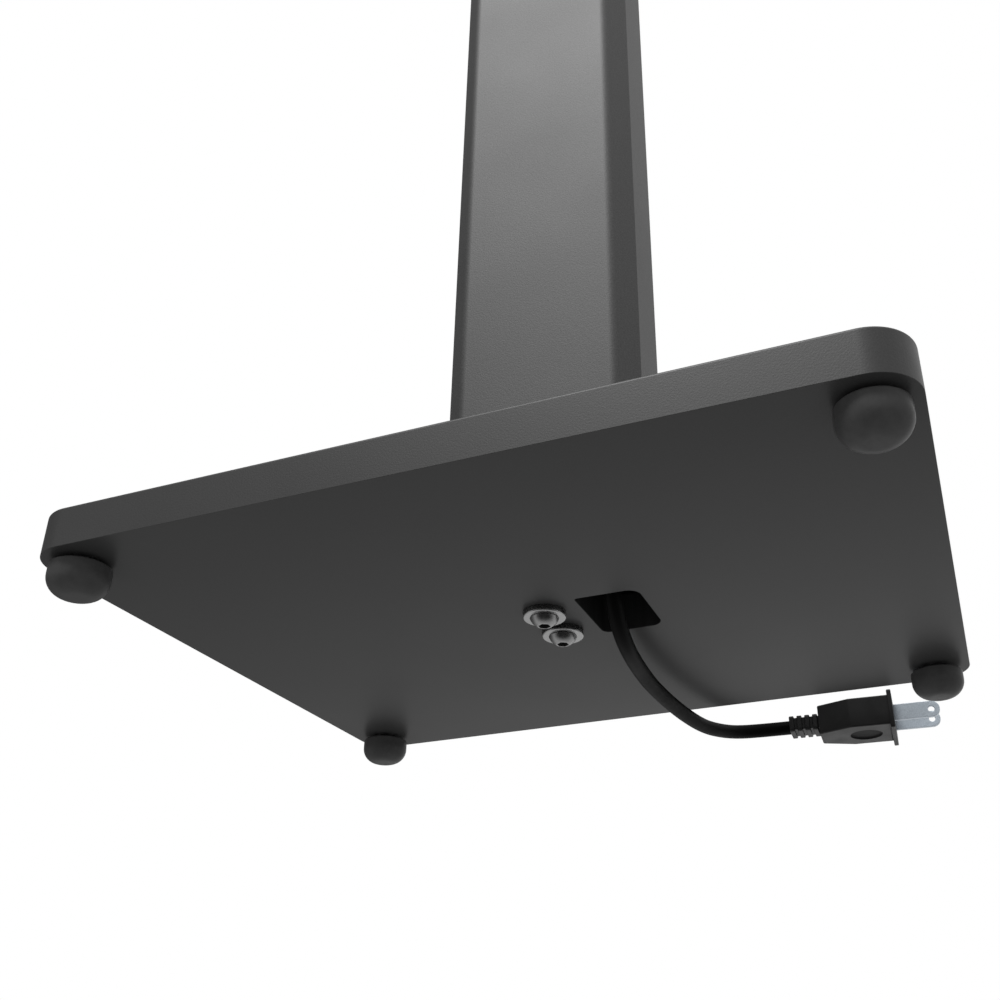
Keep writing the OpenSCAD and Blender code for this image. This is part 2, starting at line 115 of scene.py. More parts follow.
def rectangle(width, depth):
    # Corners of a rectangle, counter-clockwise; width and depth may be one value a row
    signs = np.array([[1, -1], [1, 1], [-1, 1], [-1, -1]]) / 2
    return signs * np.stack([width, depth], axis=-1)[..., None, :]


def roundedBox(width, depth, radii, centre=(0, 0), steps=16):
    # Outline of a rectangle, its four corners front right, rear right, rear left, front left
    return filletLoop(rectangle(width, depth), np.ones(4) * radii, steps) + centre


def circle(radius, centre, steps=72):
    angle = np.arange(steps) * 2 * pi / steps
    x, y = centre[0] + radius * np.cos(angle), centre[1] + radius * np.sin(angle)
    return np.stack([x, y], axis=-1)


def roundBar(width, depth, centre, steps=48):
    # Outline of a bar: two half circles and the straight sides between them
    angle = np.linspace(-pi / 2, pi / 2, steps + 1)
    right = depth / 2 * np.stack([np.cos(angle), np.sin(angle)], axis=-1) + [(width - depth) / 2, 0]
    return np.concatenate([right, -right]) + centre


def grown(loop, by):
    # Parallel copies of a closed outline, one for each distance in by, positive outwards:
    # a point moves by * (n1 + n2) / (1 + n1.n2) for the outward normals n1 and n2 of its two sides
    along = np.roll(loop, -1, axis=0) - loop
    along /= np.linalg.norm(along, axis=1, keepdims=True)
    after = np.stack([along[:, 1], -along[:, 0]], axis=-1)
    before = np.roll(after, 1, axis=0)
    mitre = (after + before) / (1 + (after * before).sum(axis=1, keepdims=True))
    return loop + np.reshape(by, (-1, 1, 1)) * mitre


def gridFaces(rows, columns, ring=False):
    # Quads of a grid whose columns close on themselves, and on a ring its rows do too
    grid = np.arange(rows * columns).reshape(rows, columns)
    low = grid if ring else grid[:-1]
    high = np.roll(grid, -1, axis=0) if ring else grid[1:]
    quads = [low, np.roll(low, -1, axis=1), np.roll(high, -1, axis=1), high]
    return np.stack(quads, axis=-1).reshape(-1, 4)


def capped(points):
    # The grid with a pole at the middle of its first and its last row
    first = points[:1].mean(axis=1, keepdims=True) + 0 * points[:1]
    last = points[-1:].mean(axis=1, keepdims=True) + 0 * points[-1:]
    return np.concatenate([first, points, last])


def finished(name, mesh, shape):
    # The worked shape as a piece of the scene. Weighted normals keep the shading of large flat
    # faces even, right up to their rounded edges.
    shape.to_mesh(mesh)
    shape.free()
    mesh.shade_smooth()
    piece = bpy.data.objects.new(name, mesh)
    bpy.context.collection.objects.link(piece)
    piece.modifiers.new("evenNormals", "WEIGHTED_NORMAL").weight = 50
    return piece


def closedMesh(name, vertices, faces, kinds=None):
    # Doubles are merged, so that a row whose points all meet becomes a pole, and faces turned
    # outwards. kinds holds the number of each face's material.
    mesh = bpy.data.meshes.new(name)
    mesh.from_pydata(vertices, [], faces)
    if kinds is not None:
        mesh.polygons.foreach_set("material_index", kinds)
    shape = bmesh.new()
    shape.from_mesh(mesh)
    bmesh.ops.remove_doubles(shape, verts=shape.verts, dist=meshing["weld"])
    bmesh.ops.recalc_face_normals(shape, faces=shape.faces)
    return finished(name, mesh, shape)


def gridMesh(name, points, ring=False, kinds=None):
    # Surface on a grid of rows by columns; kinds is one material number for each band of faces
    rows, columns = points.shape[:2]
    if kinds is not None:
        kinds = np.repeat(kinds, columns)
    return closedMesh(name, points.reshape(-1, 3), gridFaces(rows, columns, ring).tolist(), kinds)


def joined(name, parts):
    # Several closed surfaces as one piece
    shape = bmesh.new()
    for part in parts:
        shape.from_mesh(part.data)
        bpy.data.objects.remove(part)
    return finished(name, bpy.data.meshes.new(name), shape)


def carved(name, walls, lowKind=0, highKind=0):
    # A solid between two flat faces. A wall is an outline carried along a profile of (inset,
    # height): inset leads into the solid, so inwards from the outside and outwards from a hole.
    # A hole that opens low or high ends in a pole. Triangles fill the flat faces between rims.
    start, vertices, faces, kinds = 0, [], [], []
    rims = {"low": [], "high": []}
    for wall in walls:
        inset, height = np.array(wall["profile"]).T
        opens = wall.get("opens", "both")
        loops = grown(wall["outline"], inset if wall.get("hole") else -inset)
        points = np.concatenate([loops, height[:, None, None] + 0 * loops[..., :1]], axis=-1)
        if opens != "both":
            points = capped(points)[1:]
        rows, columns = points.shape[:2]
        index = start + np.arange(rows * columns).reshape(rows, columns)
        vertices.append(points.reshape(-1, 3))
        faces += (start + gridFaces(rows, columns)).tolist()
        bands = np.full(rows - 1, wall.get("kind", 0))
        bands[0] = highKind if opens == "high" else lowKind
        if opens == "both":
            bands[-1] = highKind
        kinds += np.repeat(bands, columns).tolist()
        rims["high" if opens == "high" else "low"].append(index[0])
        if opens == "both":
            rims["high"].append(index[-1])
        start += rows * columns
    vertices = np.concatenate(vertices)
    for kind, loops in ((lowKind, rims["low"]), (highKind, rims["high"])):
        flat = tessellate_polygon([list(map(Vector, vertices[rim])) for rim in loops])
        faces += np.concatenate(loops)[np.array(flat)].tolist()
        kinds += [kind] * len(flat)
    return closedMesh(name, vertices, faces, kinds)


def throughProfile(low, high, lowEdge, highEdge):
    # A straight wall from one flat face to the other, both edges rounded
    lead = meshing["lead"]
    return filletPath([[lead * lowEdge, low], [0, low], [0, high], [lead * highEdge, high]],
                      [0, lowEdge, highEdge, 0], steps=6)


def blindProfile(face, floor, edge, fillet, half):
    # A wall from a flat face down to a floor that reaches in towards the hole's middle
    lead, reach = meshing["lead"] * edge, meshing["floorReach"] * half
    return filletPath([[lead, face], [0, face], [0, floor], [-reach, floor]],
                      [0, edge, fillet, 0], steps=4)


def slabWall(look, low, high, steps):
    # Outer wall of a rectangular plate with rounded corners and edges
    return {"outline": roundedBox(look["width"], look["depth"], look["corner"], steps=steps),
            "profile": throughProfile(low, high, look["lowEdge"], look["highEdge"])}


def roundHoles(diameter, centres, profile, steps=72, **more):
    # Walls of equal round holes, one at each centre
    wall = {"hole": True, "profile": profile, **more}
    return [{"outline": circle(diameter / 2, centre, steps), **wall} for centre in centres]


def turned(profile, centre, steps=96):
    # Lathe: (radius, height) swept round a vertical axis at centre
    angle = np.arange(steps) * 2 * pi / steps
    radius, height = profile[:, :1], profile[:, 1:]
    x = centre[0] + radius * np.cos(angle)
    y = centre[1] + radius * np.sin(angle)
    return np.stack([x, y, height + 0 * x], axis=-1)


def levels(node):
    # Lowest and highest level of a CAD node
    low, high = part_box(node)
    return low[2], high[2]


def place(piece, node, materials, body="stand"):
    # Materials, body and the CAD node that the piece stands for
    for material in materials:
        piece.data.materials.append(material)
    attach(piece, body)
    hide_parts(node)


# Material helpers

class Wiring:
    # A node tree, with short calls for the nodes that the finishes, the floor and the world need
    def __init__(self, tree):
        self.tree = tree

    def feed(self, socket, source):
        # A source is another node's output or a fixed value
        if isinstance(source, bpy.types.NodeSocket):
            self.tree.links.new(source, socket)
        else:
            socket.default_value = source

    def add(self, kind, sources=None, **settings):
        # A node with its settings, and what its sockets take, by name or number
        node = self.tree.nodes.new("ShaderNode" + kind)
        for key, value in settings.items():
            setattr(node, key, value)
        for key, source in (sources or {}).items():
            self.feed(node.inputs[key], source)
        return node

    def compute(self, kind, operation, *sources, **settings):
        # Outputs of a Math or VectorMath node
        node = self.add(kind, dict(enumerate(sources)), operation=operation, **settings)
        return node.outputs

    def spread(self, value, low, high, fromLow=0.3, fromHigh=0.7, curve="LINEAR"):
        # A value spread over low to high; a noise's values lie mostly between 0.3 and 0.7
        limits = {"From Min": fromLow, "From Max": fromHigh, "To Min": low, "To Max": high}
        node = self.add("MapRange", {"Value": value, **limits}, interpolation_type=curve)
        return node.outputs["Result"]


class Recipe(Wiring):
    # A material, its shader, and the Object coordinates that its patterns follow
    def __init__(self, name):
        self.material = bpy.data.materials.new(name)
        self.material.use_nodes = True
        super().__init__(self.material.node_tree)
        self.shader = self.tree.nodes["Principled BSDF"]
        self.where = self.add("TexCoord").outputs["Object"]

    def noise(self, size, detail=2, roughness=0.5, stretch=None):
        # Noise whose features are about size metres across, longer where stretch is under 1
        source = self.where
        if stretch:
            source = self.add("Mapping", {"Vector": source, "Scale": stretch}).outputs["Vector"]
        values = {"Vector": source, "Scale": 1 / size, "Detail": detail, "Roughness": roughness}
        return self.add("TexNoise", values).outputs["Fac"]

    def mix(self, factor, first, second):
        # Colour between first and second; either is a colour or a socket
        node = self.add("Mix", {"Factor": factor}, data_type="RGBA")
        coloured = [socket for socket in node.inputs if socket.type == "RGBA"]
        for socket, colour in zip(coloured, (first, second)):
            self.feed(socket, colour)
        return [socket for socket in node.outputs if socket.type == "RGBA"][0]

    def bump(self, *layers):
        # Heights in metres, one bump on another
        below = {}
        for height, depth in layers:
            node = self.add("Bump", {"Height": height, "Distance": depth, **below})
            below = {"Normal": node.outputs["Normal"]}
        self.feed(self.shader.inputs["Normal"], below["Normal"])

    def surface(self, **sources):
        # What the shader takes: colour and rough may follow a pattern, metal and specular are fixed
        names = {"colour": "Base Color", "rough": "Roughness", "metal": "Metallic",
                 "specular": "Specular IOR Level"}
        for key, source in sources.items():
            self.feed(self.shader.inputs[names[key]], source)


def grey(level, tint=(1, 1, 1)):
    # A grey as it looks on screen, 0 to 255, made linear
    share = level / 255
    linear = share / 12.92 if share <= 0.04045 else ((share + 0.055) / 1.055) ** 2.4
    return (*(linear * t for t in tint), 1)


def powderCoat(name, look):
    # Fine textured powder coat: leather-like grain, faint cloudiness in tone and gloss, and a
    # shallow wave four times as long as the grain
    recipe = Recipe(name)
    grain = recipe.noise(look["grain"], detail=3, roughness=0.6)
    cloud = recipe.noise(look["cloud"], detail=2)
    tone = recipe.mix(recipe.spread(cloud, 0, 1), grey(look["dark"]), grey(look["light"]))
    tone = recipe.mix(recipe.spread(grain, 0, look["speckle"]), tone, grey(look["speck"]))
    rough, drift = look["rough"], 0.02
    recipe.surface(colour=tone, rough=recipe.spread(cloud, rough - drift, rough + drift),
                   specular=look["specular"])
    recipe.bump((grain, look["depth"]), (recipe.noise(look["grain"] * 4), look["wave"]))
    return recipe.material


def paintedShadeFinish(name, look):
    # Painted shade inside the cable hole, the column and the screw sockets: a dark, matte tone that
    # stands in for the shade there, with faint upright streaks
    recipe = Recipe(name)
    streaks = recipe.spread(recipe.noise(look["streak"], stretch=look["along"]), 0, 1)
    tone = recipe.mix(streaks, grey(look["dark"]), grey(look["light"]))
    recipe.surface(colour=tone, rough=look["rough"], specular=look["specular"])
    return recipe.material


def rubber(name, look):
    # Matte moulded rubber or vinyl: dusty bloom in the hollows of a fine moulding grain
    recipe = Recipe(name)
    grain = recipe.noise(look["grain"], detail=2)
    bloom = recipe.noise(look["bloom"], detail=3, roughness=0.6)
    tone = recipe.mix(recipe.spread(bloom, 0, 1), grey(look["dark"]), grey(look["light"]))
    rough, glossier, duller = look["rough"], 0.06, 0.04
    recipe.surface(colour=tone, rough=recipe.spread(bloom, rough - glossier, rough + duller),
                   specular=look["specular"])
    recipe.bump((grain, look["depth"]))
    return recipe.material


def platedSteel(name, look):
    # Satin plated metal: mottled crystals, fine scratches one way, softer gloss in patches
    recipe = Recipe(name)
    mottle = recipe.noise(look["mottle"], detail=4, roughness=0.65)
    scratch = recipe.noise(look["scratch"], detail=2, stretch=look["along"])
    tone = recipe.mix(recipe.spread(mottle, 0, 1), look["dark"], look["light"])
    rough, drift = look["rough"], 0.06
    recipe.surface(colour=tone, rough=recipe.spread(mottle, rough - drift, rough + drift),
                   metal=look["metal"])
    recipe.bump((scratch, look["depth"]), (mottle, look["depth"]))
    return recipe.material


# Finishes

# Dark, light and speck are greys as on screen, grain, cloud, bloom, mottle, scratch and streak the
# sizes of patterns, and depth and wave the heights of bumps
baseCoat = powderCoat("base_coat", {
    "dark": 36, "light": 41, "speck": 57, "speckle": 0.4, "grain": 0.5 * mm, "cloud": 40 * mm,
    "depth": 0.038 * mm, "wave": 0.008 * mm, "rough": 0.465, "specular": 0.36,
})
# A copy of the powder coat for faces turned down: its smoother, less glossy finish is its own, and
# its lighter tone is painted light, making up for the light that reaches the underside
undersideCoatWithPaintedLight = powderCoat("underside_coat_with_painted_light", {
    "dark": 50, "light": 54, "speck": 62, "speckle": 0.3, "grain": 0.4 * mm, "cloud": 50 * mm,
    "depth": 0.003 * mm, "wave": 0.002 * mm, "rough": 0.36, "specular": 0.083,
})
columnCoat = powderCoat("column_coat", {
    "dark": 36, "light": 41, "speck": 66, "speckle": 0.7, "grain": 0.55 * mm, "cloud": 60 * mm,
    "depth": 0.065 * mm, "wave": 0.008 * mm, "rough": 0.55, "specular": 0.42,
})
# Painted shade for recesses: the cable hole's walls, the column's inside and the screw sockets
paintedRecessShade = paintedShadeFinish("painted_recess_shade", {
    "dark": 31, "light": 41, "streak": 3 * mm, "along": (1, 1, 0.1), "rough": 0.9,
    "specular": 0.05,
})
footRubber = rubber("foot_rubber", {
    "dark": 65, "light": 73, "grain": 0.25 * mm, "bloom": 4 * mm, "depth": 0.004 * mm,
    "rough": 0.36, "specular": 0.05,
})
matRubber = rubber("mat_rubber", {
    "dark": 38, "light": 44, "grain": 0.6 * mm, "bloom": 12 * mm, "depth": 0.03 * mm,
    "rough": 0.75, "specular": 0.3,
})
cordVinyl = rubber("cord_vinyl", {
    "dark": 6, "light": 9, "grain": 0.3 * mm, "bloom": 8 * mm, "depth": 0.004 * mm,
    "rough": 0.55, "specular": 0.05,
})
plugVinyl = rubber("plug_vinyl", {
    "dark": 26, "light": 31, "grain": 0.3 * mm, "bloom": 7 * mm, "depth": 0.005 * mm,
    "rough": 0.5, "specular": 0.22,
})
dimpleVinyl = rubber("dimple_vinyl", {
    "dark": 34, "light": 38, "grain": 0.3 * mm, "bloom": 5 * mm, "depth": 0.02 * mm,
    "rough": 0.7, "specular": 0.12,
})
zinc = platedSteel("zinc", {
    "dark": grey(128), "light": grey(144), "mottle": 0.7 * mm, "scratch": 0.25 * mm,
    "along": (1, 1, 0.15), "depth": 0.0003 * mm, "rough": 0.25, "metal": 1.0,
})
headSteel = platedSteel("head_steel", {
    "dark": grey(122), "light": grey(134), "mottle": 0.9 * mm, "scratch": 0.3 * mm,
    "along": (1, 1, 0.15), "depth": 0.0002 * mm, "rough": 0.28, "metal": 1.0,
})
bladeSteel = platedSteel("blade_steel", {
    "dark": grey(178, (0.88, 1.0, 1.12)), "light": grey(204, (0.91, 1.0, 1.09)),
    "mottle": 0.5 * mm, "scratch": 0.2 * mm, "along": (0.12, 1, 1), "depth": 0.002 * mm,
    "rough": 0.4, "metal": 0.4,
})
blackSteel = platedSteel("black_steel", {
    "dark": grey(40), "light": grey(58), "mottle": 0.6 * mm, "scratch": 0.25 * mm,
    "along": (1, 1, 0.15), "depth": 0.002 * mm, "rough": 0.4, "metal": 0.9,
})
brass = platedSteel("brass", {
    "dark": (0.42, 0.30, 0.11, 1), "light": (0.58, 0.43, 0.19, 1), "mottle": 0.9 * mm,
    "scratch": 0.2 * mm, "along": (1, 1, 0.15), "depth": 0.001 * mm, "rough": 0.28, "metal": 1.0,
})
print("materials mixed")


# Cord: the free stretch, from the column's foot to the plug

cord = {
    "route": [
        [22.8, -10, 30], [22.8, -10, 27.6], [22.7, -8, 18], [22.3, -2.6, 10],
        [21.6, 5.6, 4.9], [20.8, 15, 3], [19.8, 25, 2.8], [19, 36, 2.8],
        [18.6, 47, 2.8], [18.8, 58, 2.8], [19.4, 69, 2.8], [20.4, 80, 2.8],
        [22, 91, 2.8], [24.2, 102, 3.2], [27.6, 112, 4.2], [33, 121, 5.6],
        [41, 127, 7], [49.2, 129.8, 7.7], [53, 130, 7.7],
    ],
    "diameter": 5.5 * mm, "length": 0.1728, "spanSteps": 16, "roundSteps": 8,
}
cordPoints = np.array(cord["route"]) * mm


def splineSlopes(points, startWay, endWay):
    # Slopes of the cubic spline through the points, straight at both ends: each slope balances
    # those of its neighbours, weighted by the spans between them
    span = np.linalg.norm(np.diff(points, axis=0), axis=1)
    count = len(points)
    system = np.eye(count)
    right = np.zeros_like(points)
    right[0], right[-1] = startWay, endWay
    chord = np.diff(points, axis=0) / span[:, None]
    inner = np.arange(1, count - 1)
    before, after = span[:-1], span[1:]
    system[inner, inner - 1] = after
    system[inner, inner] = 2 * (before + after)
    system[inner, inner + 1] = before
    right[1:-1] = 3 * (after[:, None] * chord[:-1] + before[:, None] * chord[1:])
    return np.linalg.solve(system, right), span


def makeCord(look):
    # One Bezier spline whose handles are the spline's slopes over a third of each span
    plugWay = cordPoints[-1] - cordPoints[-2]
    plugWay /= np.linalg.norm(plugWay)
    slopes, span = splineSlopes(cordPoints, (0, 0, -1), plugWay)
    before = np.concatenate([span[:1], span])[:, None]
    after = np.concatenate([span, span[-1:]])[:, None]
    line = bpy.data.curves.new("cord_free_visual", "CURVE")
    line.dimensions = "3D"
    line.resolution_u = look["spanSteps"]
    line.bevel_depth = look["diameter"] / 2
    line.bevel_resolution = look["roundSteps"]
    line.use_fill_caps = True
    spline = line.splines.new("BEZIER")
    spline.bezier_points.add(len(cordPoints) - 1)
    for key, points in (("co", cordPoints), ("handle_left", cordPoints - slopes * before / 3),
                        ("handle_right", cordPoints + slopes * after / 3)):
        spline.bezier_points.foreach_set(key, points.ravel())
    piece = bpy.data.objects.new("cord_free_visual", line)
    bpy.context.collection.objects.link(piece)
    return piece


cordPiece = makeCord(cord)
place(cordPiece, "cord_free", [cordVinyl])

# The held stretch climbs inside the column to the speaker's connector
held = {
    "route": [
        [22.8, -10, 30], [22.8, -10, 95], [22.8, -5, 160],
        [22.8, 0, 225], [22.8, 0, 290], [22.8, 0, 799.4],
    ],
    "spanSteps": 12, "roundSteps": 32,
}


def makeHeldCord(look):
    # Circle carried up the spline
    # p(t) = (1 + 2t)(1 - t)^2 p0 + t(1 - t)^2 m0 + t^2(3 - 2t) p1 - t^2(1 - t) m1
    points = np.array(look["route"]) * mm
    slopes, span = splineSlopes(points, (0, 0, 1), (0, 0, 1))
    t = np.linspace(0, 1, look["spanSteps"], endpoint=False)[None, :, None]
    span = span[:, None, None]
    here, there = points[:-1, None], points[1:, None]
    mHere, mThere = slopes[:-1, None] * span, slopes[1:, None] * span
    middle = ((1 + 2 * t) * (1 - t) ** 2 * here + t * (1 - t) ** 2 * mHere
              + t ** 2 * (3 - 2 * t) * there - t ** 2 * (1 - t) * mThere)
    middle = np.concatenate([middle.reshape(-1, 3), points[-1:]])
    ring = circle(cord["diameter"] / 2, (0, 0), look["roundSteps"])
    rings = middle[:, None] + np.concatenate([ring, 0 * ring[:, :1]], axis=-1)
    return gridMesh("cord_in_column_visual", capped(rings))


place(makeHeldCord(held), "cord_in_column", [cordVinyl])
print("cord laid")


# Plug: ribbed relief, body with flange and finger dimples, two blades

plugAt = cordPoints[-1]
plugTurn = atan2(plugAt[1] - cordPoints[-2][1], plugAt[0] - cordPoints[-2][0])


def plugPoints(x, across, up):
    # The plug's own along, across and up, turned into its place at the cord's end
    worldX = plugAt[0] + x * cos(plugTurn) - across * sin(plugTurn)
    worldY = plugAt[1] + x * sin(plugTurn) + across * cos(plugTurn)
    return np.stack([worldX, worldY, plugAt[2] + up], axis=-1)


def alongPlug(x, section):
    # Rows of flat (across, up) sections set up along the plug's own axis
    across, up = section[..., 0], section[..., 1]
    return plugPoints(x[:, None] + 0 * across, across, up)


def plugOutline(points, radii, steps=8):
    # A flat outline in the plug's own (along, across), turned into its place on the floor
    flat = filletLoop(np.array(points), np.array(radii), steps)
    turn = np.array([[cos(plugTurn), sin(plugTurn)], [-sin(plugTurn), cos(plugTurn)]])
    return plugAt[:2] + flat @ turn


def boxAlongPlug(name, x, inset, look, steps):
    # Rounded rectangles along the plug's axis, each drawn in by its inset
    corner = np.maximum(look["corner"] - inset, look["leastCorner"])
    corners = rectangle(look["width"] - 2 * inset, look["height"] - 2 * inset)
    loops = filletLoop(corners, corner[:, None] * np.ones(4), steps)
    return gridMesh(name, capped(alongPlug(x, loops)))


relief = {
    "length": 11.7 * mm, "width": 11.5 * mm, "height": 6.5 * mm, "corner": 1.2 * mm,
    "leastCorner": 0.2 * mm, "edge": 0.3 * mm,
    "ribs": 4, "ribThickness": 1.9 * mm, "ribPitch": 3.1 * mm, "ribDepth": 0.8 * mm,
}


def makeRelief(look):
    # A stepped profile of (x, inset) makes the ribs
    start = np.arange(look["ribs"])[:, None] * look["ribPitch"]
    start = start + np.array([0, 0, 1, 1]) * look["ribThickness"]
    inset = start * 0 + np.array([1, 0, 0, 1]) * look["ribDepth"]
    steps = np.stack([start.ravel(), inset.ravel()], axis=-1)
    steps[0] = [0, 2 * look["ribDepth"]]
    steps = np.concatenate([steps, [[look["length"], look["ribDepth"]]]])
    x, inset = filletPath(steps, np.full(len(steps), look["edge"]), steps=4).T
    return boxAlongPlug("plug_relief_visual", x, inset, look, steps=6)


place(makeRelief(relief), "plug_relief", [plugVinyl])

plugBody = {
    "start": 11.7 * mm, "length": 27.5 * mm, "bend": 12.4 * mm,
    "rearWidth": 13.9 * mm, "width": 24 * mm, "height": 11.8 * mm,
    "edge": 0.6 * mm, "rearCorner": 0.7 * mm, "bendBlend": 2.2 * mm, "into": 0.5 * mm,
    "dimpleAt": 17.6 * mm, "dimpleDiameter": 12.3 * mm, "dimpleDepth": 0.8 * mm,
    "dimpleEdge": 0.15 * mm, "dimpleFillet": 0.3 * mm,
}
flange = {
    "width": 26.6 * mm, "height": 15.4 * mm, "thickness": 1.7 * mm, "edge": 0.4 * mm,
    "corner": 0.85 * mm, "leastCorner": 0.05 * mm,
}


def makePlugBody(look):
    # The body's outline seen from above, carried upwards, with a round dimple in both broad
    # faces. It ends a little way inside the flange.
    rear, front = look["start"], look["start"] + look["length"]
    side, narrow, bend = look["width"] / 2, look["rearWidth"] / 2, rear + look["bend"]
    end = front + look["into"]
    edge, radii = look["edge"], [look["rearCorner"], look["bendBlend"], look["edge"]]
    corners = [[rear, -narrow], [bend, -side], [end, -side], [end, side], [bend, side],
               [rear, narrow]]
    outline = plugOutline(corners, radii + radii[::-1])
    low, high = plugAt[2] - look["height"] / 2, plugAt[2] + look["height"] / 2
    walls = [{"outline": outline, "profile": throughProfile(low, high, edge, edge)}]
    across, deep = look["dimpleDiameter"], look["dimpleDepth"]
    centre = plugAt[:2] + (rear + look["dimpleAt"]) * np.array([cos(plugTurn), sin(plugTurn)])
    for opens, face, floor in (("low", low, low + deep), ("high", high, high - deep)):
        sunk = blindProfile(face, floor, look["dimpleEdge"], look["dimpleFillet"], across / 2)
        walls += roundHoles(across, [centre], sunk, steps=96, opens=opens, kind=1)
    body = carved("body", walls)
    back, corner = front + flange["thickness"], flange["corner"]
    x, inset = filletPath([[front, corner], [front, 0], [back, 0], [back, corner]],
                          [0, flange["edge"], flange["edge"], 0], steps=5).T
    rim = boxAlongPlug("flange", x, inset, flange, steps=8)
    return joined("plug_body_visual", [body, rim])


place(makePlugBody(plugBody), "plug_body", [plugVinyl, dimpleVinyl])

blades = {
    "start": 40.9 * mm, "length": 17.3 * mm, "root": 6 * mm, "width": 6.35 * mm,
    "thickness": 1.5 * mm, "spacing": 12.7 * mm, "hole": 2.5 * mm, "edge": 0.12 * mm,
    "edgeLead": 3, "rootCorner": 0.8 * mm, "nearRound": 0.99,
}


def makeBlade(look, side):
    # Ring grid between the blade's outline and its hole: outline wall, face, hole wall, other
    # face. (inset, across) is a rounded profile at the outline, and the same at the hole.
    half = look["thickness"] / 2
    lead = look["edgeLead"] * look["edge"]
    rim = filletPath([[lead, half], [0, half], [0, -half], [lead, -half]],
                     [0, look["edge"], look["edge"], 0], steps=3)
    inset, across = rim[:, 0], rim[:, 1]
    long = look["length"] + look["root"]
    middle = look["length"] - long / 2
    tip = look["width"] / 2 * look["nearRound"] - inset
    root = look["rootCorner"] - inset
    outer = rectangle(long - 2 * inset, look["width"] - 2 * inset)
    ends = np.stack([tip, tip, root, root], axis=-1)
    outer = filletLoop(outer, ends, steps=12) + [middle, 0]
    wide = look["hole"] + 2 * inset
    around = (look["hole"] / 2 + inset)[:, None] * look["nearRound"] * np.ones(4)
    hole = filletLoop(rectangle(wide, wide), around, steps=12)
    hole = (hole + [look["length"] - look["width"] / 2, 0])[::-1]
    flat = np.concatenate([outer, hole])
    across = np.concatenate([across, across[::-1]])[:, None]
    across = across + side * look["spacing"] / 2 + 0 * flat[..., 0]
    points = plugPoints(look["start"] + flat[..., 0], across, flat[..., 1])
    return gridMesh("blade", points, ring=True)


place(joined("plug_blades_visual", [makeBlade(blades, side) for side in (-1, 1)]),
      "plug_blades", [bladeSteel])
print("plug made")


# Feet: rubber pads, and threaded studs with a disc moulded in

foot = {
    "pad": 18 * mm, "padHeight": 9.5 * mm, "lower": 6 * mm, "rim": 0.6 * mm,
    "bore": 8.1 * mm, "boreEdge": 0.3 * mm, "play": 0.05 * mm,
    "disc": 12 * mm, "discAt": 3.5 * mm, "discThickness": 1.5 * mm, "discEdge": 0.15 * mm,
    "shoulder": 9.2 * mm, "shoulderThickness": 1.4 * mm, "shoulderEdge": 0.2 * mm,
    "stud": 8 * mm, "studFillet": 0.05 * mm, "thread": 10.5 * mm, "pitch": 1.25 * mm,
    "threadDepth": 0.6 * mm, "threadTip": 0.8 * mm, "flank": 1.25, "crest": 0.1,
    "threadRows": 120, "threadSteps": 72,
}


def footCentre(node):
    low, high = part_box(node)
    return ((low[0] + high[0]) / 2, (low[1] + high[1]) / 2)


def makePad(name, look, centre):
    # Lathe: rounded rubber outside, bore and disc pocket inside
    half, bore, play = look["pad"] / 2, look["bore"] / 2, look["play"]
    pocket = look["disc"] / 2 + play
    floor = look["discAt"] - play
    ceiling = look["discAt"] + look["discThickness"] + play
    profile = filletPath(
        [[0, 0], [half, 0], [half, look["padHeight"]], [bore, look["padHeight"]],
         [bore, ceiling], [pocket, ceiling], [pocket, floor], [0, floor]],
        [0, look["lower"], look["rim"], look["boreEdge"], play, play, play, 0], steps=12)
    return gridMesh(name, turned(profile, centre))


def makeStud(name, look, centre):
    # Lathe, then a helical thread: above the shoulder the radius follows a triangle wave of
    # height / pitch - turn, so the crest climbs one pitch in each turn
    disc, stud, shoulder = look["disc"] / 2, look["stud"] / 2, look["shoulder"] / 2
    bottom, under = look["discAt"], look["padHeight"]
    above = bottom + look["discThickness"]
    top = under + look["shoulderThickness"]
    end = top + look["thread"]
    core = stud - look["threadDepth"]
    plain = filletPath(
        [[0, bottom], [disc, bottom], [disc, above], [stud, above], [stud, under],
         [shoulder, under], [shoulder, top], [core, top]],
        np.repeat([0, look["discEdge"], look["studFillet"], look["shoulderEdge"], 0],
                  [1, 2, 2, 2, 1]), steps=4)
    steps = look["threadSteps"]
    body = turned(plain, centre, steps)
    height = np.linspace(top, end, look["threadRows"])[1:, None]
    angle = (np.arange(steps) * 2 * pi / steps)[None, :]
    wave = np.abs(((height / look["pitch"] - angle / (2 * pi)) % 1) * 2 - 1)
    depth = look["threadDepth"] * np.clip(look["flank"] * wave - look["crest"], 0, 1)
    runOut = np.clip((height - top) / look["pitch"], 0, 1)
    runOut = runOut * np.clip((end - height) / look["threadTip"], 0, 1)
    radius = core + (look["threadDepth"] - depth) * runOut
    thread = np.stack([centre[0] + radius * np.cos(angle), centre[1] + radius * np.sin(angle),
                       height + 0 * radius], axis=-1)
    tip = thread[-1:] * 0 + [centre[0], centre[1], end]
    return gridMesh(name, np.concatenate([body, thread, tip]))


footCorners = ("front_left", "front_right", "rear_left", "rear_right")
footCentres = [footCentre("foot_pad_" + corner) for corner in footCorners]
for corner, centre in zip(footCorners, footCentres):
    pad, stud = "foot_pad_" + corner, "foot_stud_" + corner
    place(makePad(pad + "_visual", foot, centre), pad, [footRubber],
          corner + "_pad")
    place(makeStud(stud + "_visual", foot, centre), stud, [zinc],
          corner + "_stud")
print("feet made")


# Column screws: button heads with hexagon sockets, on washers

